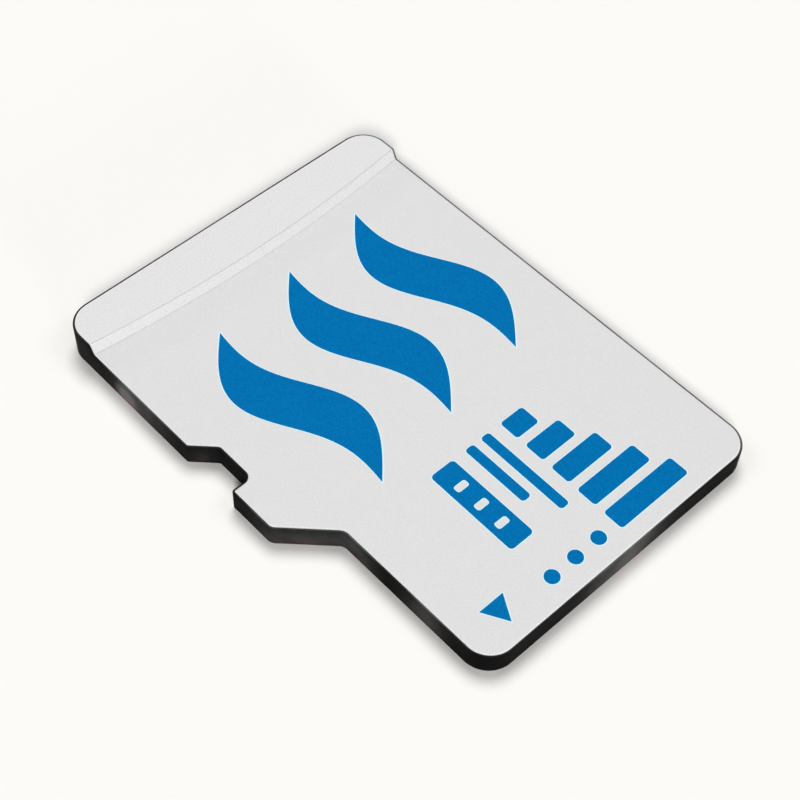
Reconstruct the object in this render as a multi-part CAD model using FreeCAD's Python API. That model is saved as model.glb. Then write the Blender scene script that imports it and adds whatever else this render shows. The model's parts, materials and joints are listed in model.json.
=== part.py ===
# Removable memory card of the smallest common size: a laminate board with its chips wired
# to it, moulded over in black resin, painted white on top and printed in blue.
#
# Millimetres. The card lies on its contact side at z = 0 with its printed face up, its
# insertion end (the nose) towards +Y and its keyed side, with the latch notch, towards +X.
# The origin is the middle of the footprint.
import FreeCAD
import Part

import math
import os

Vector = FreeCAD.Vector

# Outline seen from above
CARD_WIDTH = 11.0
CARD_LENGTH = 15.0
CORNER_RADIUS = 0.8
SHOULDER_DEPTH = 1.3        # how much narrower the nose is than the rear
SHOULDER_RUN = 1.3          # length of the slope from nose width to full width
SHOULDER_FROM_NOSE = 6.4    # nose to the wide end of that slope
SHOULDER_RADIUS = 0.3
TOOTH_LENGTH = 1.5          # full-width stretch between shoulder and latch notch
TOOTH_TIP_RADIUS = 0.1
LATCH_DEPTH = 0.6
LATCH_FLOOR = 1.2
LATCH_RAMP_RUN = 0.6
LATCH_FILLET = 0.2          # inner corner that the latch hooks
LATCH_RAMP_RADIUS = 0.12

# Heights and layers
BODY_THICKNESS = 0.7
LIP_RISE = 0.3              # how far the fingernail lip stands above the body
LIP_FOOT_FROM_REAR = 1.71
LIP_SLOPE_RUN = 0.14
LIP_ARC_RADIUS = 43.5       # the lip's front edge is a shallow bow
MASK_THICKNESS = 0.03
BOARD_THICKNESS = 0.2
PAINT_THICKNESS = 0.03
INK_THICKNESS = 0.01
RIM_CHAMFER = 0.02          # round the resin's top edge
PAINT_MARGIN = 0.06         # bare resin between the card's edge and the paint

# Gold contacts on the underside
CONTACT_COUNT = 8
POWER_CONTACTS = ("contact_4", "contact_6")  # these two reach further forward and touch first
CONTACT_SIDE_MARGIN = 0.6
CONTACT_GAP = 0.3
CONTACT_LENGTH = 2.9
CONTACT_FROM_NOSE = 1.1
CONTACT_LEAD = 0.3
CONTACT_RADIUS = 0.1
CONTACT_THICKNESS = 0.02
WINDOW_CLEARANCE = 0.04

# Chips under the resin
CHIP_ZONE = 5.3             # nose to the front edge of the lower memory die
MEMORY_SIDE_MARGIN = 0.65
MEMORY_REAR_MARGIN = 0.9
MEMORY_THICKNESS = 0.08
MEMORY_STEP = 0.4           # shelf of the lower die left clear for its wires
CONTROLLER_WIDTH = 3.2
CONTROLLER_LENGTH = 2.0
CONTROLLER_THICKNESS = 0.1
CAPACITOR_LENGTH = 0.6
CAPACITOR_WIDTH = 0.3
CAPACITOR_HEIGHT = 0.22
CAPACITOR_CAP = 0.15        # length of each metal end
CAPACITOR_CAP_WALL = 0.015  # how far the metal ends stand proud of the ceramic
CAPACITOR_FROM_CONTROLLER = 0.9
CAPACITOR_SPACING = 0.5

# Bond wires
WIRE_THICKNESS = 0.025
WIRE_FOOT = 0.06
WIRE_LOOP = 0.05            # rise of the loop above the higher of its two feet
WIRE_EDGE = 0.12            # die edge to the middle of a wire's foot
WIRE_REACH = 0.5            # die edge to the board's bond finger
MEMORY_WIRE_COUNT = 12
MEMORY_WIRE_MARGIN = 0.6
CONTROLLER_WIRE_COUNT = 10
CONTROLLER_WIRE_MARGIN = 0.2

# Blue print
PRINT_NOSE_MARGIN = 0.55
MARKS_LENGTH = 4.3
WAVE_COUNT = 3
WAVE_LIP_MARGIN = 0.5
WAVE_MARKS_MARGIN = 0.7
WAVE_SIDE_MARGIN = 1.0
WAVE_SWING = 0.55           # how far a wave's middle line swings to either side
WAVE_WIDTH = 1.7
WAVE_STAGGER = 0.4
WAVE_SPANS = 8              # spans between the points of each wave's edges
BAR_COUNT = 5
BAR_GAP = 0.28
BAR_SHORTEST = 0.8
BAR_LONGEST = 2.5
BAR_RADIUS = 0.1
BARS_FROM_STRAIGHT_SIDE = 2.0
MARK_GAP = 0.42             # between neighbouring rows of marks
LINE_COUNT = 2
LINE_WIDTH = 0.3
LINE_GAP = 0.26
LINE_SHORTENING = 0.8       # how much shorter each line is than the one before
PANEL_WIDTH = 0.8
PANEL_LENGTH = 2.9
PANEL_RADIUS = 0.12
SLOT_COUNT = 3
SLOT_WIDTH = 0.22
SLOT_MARGIN = 0.2
DOT_COUNT = 3
DOT_DIAMETER = 0.42
ARROW_WIDTH = 0.8
ARROW_LENGTH = 0.7
ARROW_FROM_KEYED_SIDE = 1.3  # side of the nose to the arrow's middle

# Names and places that follow from the values above
CONTACTS = [f"contact_{i + 1}" for i in range(CONTACT_COUNT)]  # the first is nearest the keyed side
STRAIGHT_X = -CARD_WIDTH / 2
KEYED_X = CARD_WIDTH / 2
NOSE_Y = CARD_LENGTH / 2
REAR_Y = -CARD_LENGTH / 2
NOSE_WIDTH = CARD_WIDTH - SHOULDER_DEPTH
NOSE_KEYED_X = KEYED_X - SHOULDER_DEPTH
NOSE_MIDDLE_X = (STRAIGHT_X + NOSE_KEYED_X) / 2
SHOULDER_Y = NOSE_Y - SHOULDER_FROM_NOSE
LATCH_FACE_Y = SHOULDER_Y - TOOTH_LENGTH
LATCH_FLOOR_Y = LATCH_FACE_Y - LATCH_FLOOR
LATCH_RAMP_Y = LATCH_FLOOR_Y - LATCH_RAMP_RUN
LATCH_X = KEYED_X - LATCH_DEPTH
LIP_FOOT_Y = REAR_Y + LIP_FOOT_FROM_REAR
BOARD_TOP = MASK_THICKNESS + BOARD_THICKNESS
RESIN_TOP = BODY_THICKNESS - PAINT_THICKNESS
LOWER_DIE_FRONT = NOSE_Y - CHIP_ZONE
UPPER_DIE_FRONT = LOWER_DIE_FRONT - MEMORY_STEP
MEMORY_LENGTH = UPPER_DIE_FRONT - (REAR_Y + MEMORY_REAR_MARGIN)
MEMORY_WIDTH = NOSE_WIDTH - 2 * MEMORY_SIDE_MARGIN
LOWER_DIE_TOP = BOARD_TOP + MEMORY_THICKNESS
UPPER_DIE_TOP = LOWER_DIE_TOP + MEMORY_THICKNESS
CONTROLLER_Y = (LOWER_DIE_FRONT + WIRE_REACH + NOSE_Y) / 2
CONTROLLER_TOP = BOARD_TOP + CONTROLLER_THICKNESS
MARKS_FRONT = NOSE_Y - PRINT_NOSE_MARGIN
MARKS_REAR = MARKS_FRONT - MARKS_LENGTH


def rounded_face(corners):
    """Flat face at z = 0 from (x, y, radius) corners taken in order round it."""
    rounds = []
    for i in range(len(corners)):
        x, y, radius = corners[i]
        here = Vector(x, y, 0)
        back = (Vector(*corners[i - 1][:2], 0) - here).normalize()
        ahead = (Vector(*corners[(i + 1) % len(corners)][:2], 0) - here).normalize()
        half = back.getAngle(ahead) / 2
        reach = radius / math.tan(half)
        depth = radius / math.sin(half) - radius
        rounds.append((here + back * reach, here + (back + ahead).normalize() * depth, here + ahead * reach))
    edges = []
    for i in range(len(rounds)):
        start, middle, end = rounds[i]
        edges.append(Part.LineSegment(rounds[i - 1][2], start).toShape())
        edges.append(Part.Arc(start, middle, end).toShape())
    return Part.Face(Part.Wire(edges))


def rectangle(x0, y0, x1, y1, radius):
    """Flat rounded rectangle between two opposite corners."""
    return rounded_face([(x0, y0, radius), (x1, y0, radius), (x1, y1, radius), (x0, y1, radius)])


def plate(face, bottom, top):
    """The face raised to one height and thickened up to another."""
    return face.translated(Vector(0, 0, bottom)).extrude(Vector(0, 0, top - bottom))


def block(x, y, bottom, width, length, height):
    """Upright box centred on x and y."""
    return Part.makeBox(width, length, height, Vector(x - width / 2, y - length / 2, bottom))


def card_face():
    """The card's outline, from the rear corner on the straight side round past the latch notch."""
    return rounded_face([
        (STRAIGHT_X, REAR_Y, CORNER_RADIUS),
        (KEYED_X, REAR_Y, CORNER_RADIUS),
        (KEYED_X, LATCH_RAMP_Y, LATCH_RAMP_RADIUS),
        (LATCH_X, LATCH_FLOOR_Y, LATCH_RAMP_RADIUS),
        (LATCH_X, LATCH_FACE_Y, LATCH_FILLET),
        (KEYED_X, LATCH_FACE_Y, TOOTH_TIP_RADIUS),
        (KEYED_X, SHOULDER_Y, SHOULDER_RADIUS),
        (NOSE_KEYED_X, SHOULDER_Y + SHOULDER_RUN, SHOULDER_RADIUS),
        (NOSE_KEYED_X, NOSE_Y, CORNER_RADIUS),
        (STRAIGHT_X, NOSE_Y, CORNER_RADIUS),
    ])


def lip_cone(foot_z):
    """Rear end's raised stretch: a very wide cone whose flank is the lip's bowed front slope."""
    axis_foot = Vector(0, LIP_FOOT_Y - LIP_ARC_RADIUS, foot_z)
    return Part.makeCone(LIP_ARC_RADIUS, LIP_ARC_RADIUS - LIP_SLOPE_RUN, LIP_RISE, axis_foot)


def chamfered_plate(face, bottom, top):
    """Plate with the rim chamfer round its upper edge."""
    solid = plate(face, bottom, top)
    upper = [edge for edge in solid.Edges if edge.BoundBox.ZMin > (bottom + top) / 2]
    return solid.makeChamfer(RIM_CHAMFER, upper)


def stepped_block(face, bottom, top, slab):
    """Body with the lip on its rear end, both trimmed to the face and topped by the slab maker."""
    lip = slab(face, bottom, top + LIP_RISE).common(lip_cone(top))
    return slab(face, bottom, top).fuse(lip).removeSplitter()


def contact_face(name, clearance):
    """Plan of one contact, widened all round by the clearance."""
    width = (NOSE_WIDTH - 2 * CONTACT_SIDE_MARGIN - (CONTACT_COUNT - 1) * CONTACT_GAP) / CONTACT_COUNT
    x1 = NOSE_KEYED_X - CONTACT_SIDE_MARGIN - CONTACTS.index(name) * (width + CONTACT_GAP)
    rear = NOSE_Y - CONTACT_FROM_NOSE - CONTACT_LENGTH
    front = NOSE_Y - CONTACT_FROM_NOSE
    if name in POWER_CONTACTS:
        front += CONTACT_LEAD
    return rectangle(x1 - width - clearance, rear - clearance, x1 + clearance, front + clearance,
                     CONTACT_RADIUS + clearance)


def make_contacts():
    """Gold pads plated on the board's underside, set back a little behind the solder mask."""
    back = MASK_THICKNESS - CONTACT_THICKNESS
    return {name: plate(contact_face(name, 0), back, MASK_THICKNESS) for name in CONTACTS}


def make_solder_mask():
    """Black lacquer over the board's underside, with a window round each contact."""
    windows = [plate(contact_face(name, WINDOW_CLEARANCE), 0, MASK_THICKNESS) for name in CONTACTS]
    return plate(card_face(), 0, MASK_THICKNESS).cut(windows)


def make_dies():
    """Two memory dies stacked as a stair, and the controller die ahead of them."""
    lower_y = LOWER_DIE_FRONT - MEMORY_LENGTH / 2
    upper_y = UPPER_DIE_FRONT - MEMORY_LENGTH / 2
    memory = (MEMORY_WIDTH, MEMORY_LENGTH, MEMORY_THICKNESS)
    controller = (CONTROLLER_WIDTH, CONTROLLER_LENGTH, CONTROLLER_THICKNESS)
    return {
        "memory_die_lower": block(NOSE_MIDDLE_X, lower_y, BOARD_TOP, *memory),
        "memory_die_upper": block(NOSE_MIDDLE_X, upper_y, LOWER_DIE_TOP, *memory),
        "controller_die": block(NOSE_MIDDLE_X, CONTROLLER_Y, BOARD_TOP, *controller),
    }


def make_capacitors():
    """Chip capacitors in two pairs beside the controller, with their metal ends standing proud."""
    capacitors = {}
    x_offset = CONTROLLER_WIDTH / 2 + CAPACITOR_FROM_CONTROLLER
    y_offset = (CAPACITOR_LENGTH + CAPACITOR_SPACING) / 2
    cap_offset = (CAPACITOR_LENGTH - CAPACITOR_CAP) / 2
    waist = CAPACITOR_WIDTH - 2 * CAPACITOR_CAP_WALL
    waist_height = CAPACITOR_HEIGHT - 2 * CAPACITOR_CAP_WALL
    places = [(side, end) for side in (-1, 1) for end in (-1, 1)]
    for number, (side, end) in enumerate(places, start=1):
        x = NOSE_MIDDLE_X + side * x_offset
        y = CONTROLLER_Y + end * y_offset
        ceramic = block(x, y, BOARD_TOP + CAPACITOR_CAP_WALL, waist, CAPACITOR_LENGTH, waist_height)
        caps = [block(x, y + sign * cap_offset, BOARD_TOP, CAPACITOR_WIDTH, CAPACITOR_CAP, CAPACITOR_HEIGHT)
                for sign in (-1, 1)]
        capacitors[f"capacitor_{number}"] = ceramic.fuse(caps).removeSplitter()
    return capacitors


def bond_wire(x, start_y, start_z, end_y, end_z):
    """Flat-faced wire in a plane across the card's width, looping from one foot to the other."""
    heading = math.copysign(WIRE_FOOT / 2, end_y - start_y)
    line = [
        (start_y - heading, start_z),
        (start_y + heading, start_z),
        ((start_y + end_y) / 2, max(start_z, end_z) + WIRE_LOOP),
        (end_y - heading, end_z),
        (end_y + heading, end_z),
    ]
    ring = line + [(y, z + WIRE_THICKNESS) for y, z in reversed(line)]
    points = [Vector(x - WIRE_THICKNESS / 2, y, z) for y, z in ring + ring[:1]]
    return Part.Face(Part.makePolygon(points)).extrude(Vector(WIRE_THICKNESS, 0, 0))


def spread(middle, width, count):
    """Evenly spaced places over a width."""
    return [middle + width * (i / (count - 1) - 0.5) for i in range(count)]


def make_bond_wires():
    """Wires from die to die and from die to board, one group for each kind of chip."""
    shelf = LOWER_DIE_FRONT - WIRE_EDGE
    landing = LOWER_DIE_FRONT - MEMORY_STEP + WIRE_EDGE
    memory = []
    for x in spread(NOSE_MIDDLE_X, MEMORY_WIDTH - 2 * MEMORY_WIRE_MARGIN, MEMORY_WIRE_COUNT):
        memory.append(bond_wire(x, UPPER_DIE_FRONT - WIRE_EDGE, UPPER_DIE_TOP, landing, LOWER_DIE_TOP))
        memory.append(bond_wire(x, shelf, LOWER_DIE_TOP, LOWER_DIE_FRONT + WIRE_REACH, BOARD_TOP))
    controller = []
    for x in spread(NOSE_MIDDLE_X, CONTROLLER_WIDTH - 2 * CONTROLLER_WIRE_MARGIN, CONTROLLER_WIRE_COUNT):
        for end in (-1, 1):
            start_y = CONTROLLER_Y + end * (CONTROLLER_LENGTH / 2 - WIRE_EDGE)
            end_y = CONTROLLER_Y + end * (CONTROLLER_LENGTH / 2 + WIRE_REACH)
            controller.append(bond_wire(x, start_y, CONTROLLER_TOP, end_y, BOARD_TOP))
    return {
        "memory_bond_wires": Part.makeCompound(memory),
        "controller_bond_wires": Part.makeCompound(controller),
    }


def make_resin_body(buried):
    """Black moulding with the outline, latch notch and lip, set round everything on the board."""
    body = stepped_block(card_face(), BOARD_TOP, RESIN_TOP, chamfered_plate)
    return body.cut(buried)


def make_top_paint():
    """White coat of even height over the resin's top, lip slope included, inside its bare margin."""
    face = card_face().makeOffset2D(-PAINT_MARGIN)
    painted = stepped_block(face, BOARD_TOP, BODY_THICKNESS, plate)
    bare = stepped_block(face, BOARD_TOP, RESIN_TOP, plate)
    return painted.cut(bare)


def ink(faces):
    """Printed areas as thin solids on the paint."""
    solids = [plate(face, BODY_THICKNESS, BODY_THICKNESS + INK_THICKNESS) for face in faces]
    return Part.makeCompound(solids)


def wave_face(x, rear, front):
    """One S-shaped ribbon along the card that swells in the middle and tapers to both tips."""
    def edge(side):
        points = []
        for i in range(WAVE_SPANS + 1):
            share = i / WAVE_SPANS
            swing = WAVE_SWING * math.sin(2 * math.pi * share)
            half_width = WAVE_WIDTH / 2 * math.sin(math.pi * share)
            points.append(Vector(x + swing + side * half_width, rear + share * (front - rear), 0))
        curve = Part.BSplineCurve()
        curve.interpolate(points)
        return curve.toShape()
    return Part.Face(Part.Wire([edge(-1), edge(1)]))


def make_print_waves():
    """Three staggered ribbons between the lip and the marks."""
    rear = LIP_FOOT_Y + WAVE_LIP_MARGIN
    front = MARKS_REAR - WAVE_MARKS_MARGIN
    length = front - rear - (WAVE_COUNT - 1) * WAVE_STAGGER
    room = CARD_WIDTH - LATCH_DEPTH - 2 * WAVE_SIDE_MARGIN - WAVE_WIDTH - 2 * WAVE_SWING
    middle = (STRAIGHT_X + LATCH_X) / 2
    faces = []
    for i, x in enumerate(spread(middle, room, WAVE_COUNT)):
        start = rear + i * WAVE_STAGGER
        faces.append(wave_face(x, start, start + length))
    return ink(faces)


def make_print_marks():
    """Rising bars, plain lines, a slotted panel, dots and the arrow that shows the way in."""
    bars_foot = STRAIGHT_X + BARS_FROM_STRAIGHT_SIDE + BAR_LONGEST
    bar_width = (MARKS_LENGTH - (BAR_COUNT - 1) * BAR_GAP) / BAR_COUNT
    faces = []
    for i in range(BAR_COUNT):
        height = BAR_SHORTEST + (BAR_LONGEST - BAR_SHORTEST) * i / (BAR_COUNT - 1)
        rear = MARKS_REAR + i * (bar_width + BAR_GAP)
        faces.append(rectangle(bars_foot - height, rear, bars_foot, rear + bar_width, BAR_RADIUS))

    lines_x = bars_foot + MARK_GAP
    for i in range(LINE_COUNT):
        x0 = lines_x + i * (LINE_WIDTH + LINE_GAP)
        front = MARKS_REAR + PANEL_LENGTH - i * LINE_SHORTENING
        faces.append(rectangle(x0, MARKS_REAR, x0 + LINE_WIDTH, front, LINE_WIDTH / 3))

    panel_x0 = lines_x + LINE_COUNT * (LINE_WIDTH + LINE_GAP) - LINE_GAP + MARK_GAP
    panel_x1 = panel_x0 + PANEL_WIDTH
    panel = rectangle(panel_x0, MARKS_REAR, panel_x1, MARKS_REAR + PANEL_LENGTH, PANEL_RADIUS)
    pitch = PANEL_LENGTH / (SLOT_COUNT + 1)
    slots = []
    for i in range(1, SLOT_COUNT + 1):
        rear = MARKS_REAR + i * pitch - SLOT_WIDTH / 2
        slots.append(rectangle(panel_x0 + SLOT_MARGIN, rear, panel_x1 - SLOT_MARGIN, rear + SLOT_WIDTH,
                               SLOT_WIDTH / 3))
    faces.append(panel.cut(slots))

    dots_middle = (lines_x + panel_x1) / 2
    for x in spread(dots_middle, panel_x1 - lines_x - DOT_DIAMETER, DOT_COUNT):
        middle = Vector(x, MARKS_FRONT - DOT_DIAMETER / 2, 0)
        faces.append(Part.Face(Part.Wire(Part.makeCircle(DOT_DIAMETER / 2, middle))))

    arrow_x = NOSE_KEYED_X - ARROW_FROM_KEYED_SIDE
    tip = Vector(arrow_x, MARKS_FRONT, 0)
    rear_ends = [Vector(arrow_x + side * ARROW_WIDTH / 2, MARKS_FRONT - ARROW_LENGTH, 0) for side in (-1, 1)]
    faces.append(Part.Face(Part.makePolygon([tip, *rear_ends, tip])))
    return ink(faces)


def build_parts():
    buried = {**make_dies(), **make_capacitors(), **make_bond_wires()}
    return {
        "solder_mask": make_solder_mask(),
        **make_contacts(),
        "board": plate(card_face(), MASK_THICKNESS, BOARD_TOP),
        **buried,
        "resin_body": make_resin_body(list(buried.values())),
        "top_paint": make_top_paint(),
        "print_waves": make_print_waves(),
        "print_marks": make_print_marks(),
    }


os.makedirs("parts", exist_ok=True)
for name, shape in build_parts().items():
    shape.exportStep(f"parts/{name}.step")
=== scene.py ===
# %% [markdown]
# # Dressing a memory card
#
# The card is a thin slab of black resin, moulded over a small circuit board. Its top is painted white and
# printed in blue, and eight gold contacts lie in windows of the black lacquer underneath. It could be
# drawn afresh by eye, but then its sizes would drift from the imported model. So that model is loaded first
# as a fixed frame, and every piece takes its place from it.

# %% Load the frame
import json
import math

import bmesh
import bpy
from mathutils import Matrix, Vector
from mathutils.geometry import tessellate_polygon


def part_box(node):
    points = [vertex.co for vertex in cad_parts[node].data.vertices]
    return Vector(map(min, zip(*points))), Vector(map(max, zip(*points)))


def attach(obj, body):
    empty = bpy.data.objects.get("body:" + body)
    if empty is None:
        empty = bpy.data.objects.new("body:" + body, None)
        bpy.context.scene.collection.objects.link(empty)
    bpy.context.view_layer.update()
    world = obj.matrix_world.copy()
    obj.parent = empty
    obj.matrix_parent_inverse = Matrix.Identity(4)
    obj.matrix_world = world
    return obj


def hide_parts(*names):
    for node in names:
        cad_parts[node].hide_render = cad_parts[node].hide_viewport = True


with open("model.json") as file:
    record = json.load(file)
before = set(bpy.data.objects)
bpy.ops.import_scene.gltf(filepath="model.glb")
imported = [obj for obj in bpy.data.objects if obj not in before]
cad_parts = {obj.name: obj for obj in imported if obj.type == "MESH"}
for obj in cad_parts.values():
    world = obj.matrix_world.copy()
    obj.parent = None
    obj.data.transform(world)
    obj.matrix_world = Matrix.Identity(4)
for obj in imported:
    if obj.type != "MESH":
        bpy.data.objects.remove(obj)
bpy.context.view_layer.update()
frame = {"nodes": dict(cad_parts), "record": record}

# %% [markdown]
# ## Layers
#
# The real card is a stack of lacquer, laminate, resin and paint, each some hundredths or tenths of a
# millimetre thick. Their heights could be typed in again, but here they are read from the frame's boxes,
# so they can't differ from the model. Seen from above with the nose forward, the straight side is on the
# left and the keyed side, with its notch and shoulder, on the right. Meshes are made in millimetres and
# shrunk to metres as the last step, because tiny numbers upset some tools.

# %% Read the layers
MM = 0.001


def box_mm(node):
    """Lowest and highest corner of a node, in millimetres."""
    low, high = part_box(node)
    return Vector(low) / MM, Vector(high) / MM


mask_low, mask_high = box_mm("solder_mask")
board_low, board_high = box_mm("board")
resin_low, resin_high = box_mm("resin_body")
paint_low, paint_high = box_mm("top_paint")
STRAIGHT_X = mask_low.x
KEYED_X = mask_high.x
REAR_Y = mask_low.y
NOSE_Y = mask_high.y
RESIN_TOP = paint_low.z
LIP_RISE = resin_high.z - RESIN_TOP
PAINT = paint_high.z - resin_high.z
PAINT_MARGIN = paint_low.x - STRAIGHT_X
BODY_TOP = RESIN_TOP + PAINT
print(f"body {BODY_TOP:.3f}, lip {paint_high.z:.3f}, paint {PAINT:.3f}, its margin {PAINT_MARGIN:.3f} mm")

# %% [markdown]
# ## The outline
#
# Every layer has the same outline: a rounded slab with a latch notch, which a socket hooks, and a
# shoulder that keeps the card from going in the wrong way round. It could be a bevelled curve, or a block
# cut by booleans. Here a short list of corners with radii says it all, and a function turns each corner
# into an arc of points with outward normals. With the normals, the outline can be drawn in by a small
# distance, which later rounds every edge without a boolean.

# %% Corners of the outline
CORNER_RADIUS = 0.8
SHOULDER_DEPTH = 1.3
SHOULDER_RUN = 1.3
SHOULDER_FROM_NOSE = 6.4
SHOULDER_RADIUS = 0.3
TOOTH_LENGTH = 1.5       # the full-width stretch between shoulder and notch
TOOTH_TIP_RADIUS = 0.1
LATCH_DEPTH = 0.6
LATCH_FLOOR = 1.2
LATCH_RAMP_RUN = 0.6
LATCH_RAMP_RADIUS = 0.12
LATCH_FILLET = 0.2

shoulder_y = NOSE_Y - SHOULDER_FROM_NOSE
latch_face_y = shoulder_y - TOOTH_LENGTH
latch_floor_y = latch_face_y - LATCH_FLOOR
latch_x = KEYED_X - LATCH_DEPTH
nose_keyed_x = KEYED_X - SHOULDER_DEPTH
CORNERS = [              # x, y and radius, counter-clockwise from the rear
    (STRAIGHT_X, REAR_Y, CORNER_RADIUS),
    (KEYED_X, REAR_Y, CORNER_RADIUS),
    (KEYED_X, latch_floor_y - LATCH_RAMP_RUN, LATCH_RAMP_RADIUS),
    (latch_x, latch_floor_y, LATCH_RAMP_RADIUS),
    (latch_x, latch_face_y, LATCH_FILLET),
    (KEYED_X, latch_face_y, TOOTH_TIP_RADIUS),
    (KEYED_X, shoulder_y, SHOULDER_RADIUS),
    (nose_keyed_x, shoulder_y + SHOULDER_RUN, SHOULDER_RADIUS),
    (nose_keyed_x, NOSE_Y, CORNER_RADIUS),
    (STRAIGHT_X, NOSE_Y, CORNER_RADIUS),
]
print(f"nose {nose_keyed_x - STRAIGHT_X:.2f} mm wide, latch face {NOSE_Y - latch_face_y:.2f} mm behind it")

# %% Arcs round the corners
ARC_STEP = math.radians(5)


def corner_arc(corners, i):
    """Points and outward normals round corner i of a counter-clockwise outline."""
    here = Vector(corners[i][:2])
    radius = corners[i][2]
    arriving = (here - Vector(corners[i - 1][:2])).normalized()
    leaving = (Vector(corners[(i + 1) % len(corners)][:2]) - here).normalized()
    turn = math.atan2(arriving.cross(leaving), arriving.dot(leaving))
    bulge = math.copysign(radius, turn)
    normal = Vector((arriving.y, -arriving.x))
    centre = here - arriving * radius * math.tan(abs(turn) / 2) - normal * bulge
    count = max(2, math.ceil(abs(turn) / ARC_STEP))
    normals = [Matrix.Rotation(turn * k / count, 2) @ normal for k in range(count + 1)]
    return [(centre + n * bulge, n) for n in normals]


print("points on one quarter round:", len(corner_arc(CORNERS, 0)))

# %% [markdown]
# ## The lip's slope
#
# The rear end steps up to a lip for the fingernail. Seen from above, its front slope is a shallow bow,
# and there is a small round at its foot and at its crest. A Bevel modifier could round it, but then the
# paint's tone couldn't follow those lines. So the slope is described by stations: how far behind the foot
# a line lies, and how high. Each station becomes one bowed row of vertices. A few more stations lie flat
# in front of the foot, where the paint's colour carries painted shade.

# %% Stations across the slope
LIP_RUN = 0.14
LIP_ROUND = 0.045
ROUND_STEPS = 5          # rows on every small round
AHEAD_OF_FOOT = [1.2, 0.6, 0.3, 0.12]

slope_angle = math.atan2(LIP_RISE, LIP_RUN)
tangent = LIP_ROUND * math.tan(slope_angle / 2)
foot_round = []
for step in range(ROUND_STEPS + 1):
    angle = slope_angle * step / ROUND_STEPS
    foot_round.append((LIP_ROUND * math.sin(angle) - tangent, LIP_ROUND * (1 - math.cos(angle))))
crest_round = [(LIP_RUN - back, LIP_RISE - height) for back, height in reversed(foot_round)]
STATIONS = [(-ahead, 0) for ahead in AHEAD_OF_FOOT] + foot_round + crest_round
print(f"slope of {math.degrees(slope_angle):.0f} degrees, {len(STATIONS)} stations")

# %% Rings with the stations in them
LIP_FOOT_FROM_REAR = 1.71
LIP_BOW = 43.5           # radius of the bow
KEYED_REAR = 1           # place in CORNERS of the corner between the rear and the keyed side

lip_foot_y = REAR_Y + LIP_FOOT_FROM_REAR
bow_centre_y = lip_foot_y - LIP_BOW


def lip_line(x, back):
    """Y of the bowed line that lies the given distance behind the slope's foot."""
    return bow_centre_y + math.sqrt((LIP_BOW - back) ** 2 - x * x)


def card_ring(inset):
    """The outline drawn in by the inset, counter-clockwise, as (x, y, how high the lip stands there)."""
    ring = []
    for i in range(len(CORNERS)):
        height = LIP_RISE if CORNERS[i][1] == REAR_Y else 0
        for point, normal in corner_arc(CORNERS, i):
            place = point - normal * inset
            ring.append((place.x, place.y, height))
        if i == KEYED_REAR:
            side = KEYED_X - inset
            ring += [(side, lip_line(side, back), up) for back, up in reversed(STATIONS)]
    side = STRAIGHT_X + inset
    ring += [(side, lip_line(side, back), up) for back, up in STATIONS]
    return ring


RING_LENGTH = len(card_ring(0))
KEYED_CREST = sum(len(corner_arc(CORNERS, i)) for i in range(KEYED_REAR + 1))
KEYED_FOOT = KEYED_CREST + len(STATIONS) - 1
STRAIGHT_FOOT = RING_LENGTH - len(STATIONS)
print(f"{RING_LENGTH} points round the card, the slope's at {KEYED_CREST} and at {STRAIGHT_FOOT}")

# %% [markdown]
# ## Building a layer
#
# Resin, laminate, paint and lacquer are all plates with this outline. An extruded curve would give their
# walls, but not the lip or the tiny rounds along their edges. So a layer is a stack of rings: each is the
# outline at some inset and height, and neighbouring rings are joined by quads. A cap closes the top in
# three parts, the flat body, the slope's strips and the flat lip.

# %% Rings, walls and caps
LIP_SPANS = 32           # quads across the slope


def add_ring(mesh, inset, level, follow_lip=True):
    """One ring of vertices, raised with the lip or level all round."""
    return [mesh.verts.new((x, y, level + up * follow_lip)) for x, y, up in card_ring(inset)]


def add_walls(mesh, rings):
    """Quads between each ring and the next."""
    for lower, upper in zip(rings, rings[1:]):
        for i in range(len(lower)):
            mesh.faces.new((lower[i - 1], lower[i], upper[i], upper[i - 1]))


def add_cap(mesh, ring, level):
    """Covers a ring with the flat body, the bowed slope and the flat lip."""
    lines = []
    for j, (back, up) in enumerate(STATIONS):
        start = ring[STRAIGHT_FOOT + j]
        end = ring[KEYED_FOOT - j]
        line = [start]
        for k in range(1, LIP_SPANS):
            x = start.co.x + (end.co.x - start.co.x) * k / LIP_SPANS
            line.append(mesh.verts.new((x, lip_line(x, back), level + up)))
        lines.append(line + [end])
    for front, behind in zip(lines, lines[1:]):
        for k in range(LIP_SPANS):
            mesh.faces.new((behind[k], behind[k + 1], front[k + 1], front[k]))
    mesh.faces.new(lines[0] + ring[KEYED_FOOT + 1:STRAIGHT_FOOT])
    mesh.faces.new(lines[-1][::-1] + ring[:KEYED_CREST])


print("quads along the slope in each cap:", LIP_SPANS * (len(STATIONS) - 1))

# %% [markdown]
# ## From a mesh to a piece
#
# Where a big flat face meets a tiny round, plain smooth shading bends the light over the whole flat face.
# The round could have more and more rows, but weighting each face's share of a normal by its area cures
# it at no cost: flat faces stay flat, and only the round shades smoothly. The modifier that does it is
# made plain at once, so a finished piece is only a mesh at the origin.

# %% Finish a piece
SMOOTH_ANGLE = math.radians(35)
AREA_WEIGHT = 100        # the largest that the modifier takes


def plain_copy(maker):
    """The mesh that an object's modifiers make, with the maker and its own mesh removed."""
    spare = maker.data
    made = bpy.data.meshes.new_from_object(maker.evaluated_get(bpy.context.evaluated_depsgraph_get()))
    bpy.data.objects.remove(maker)
    bpy.data.meshes.remove(spare)
    return made


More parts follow.
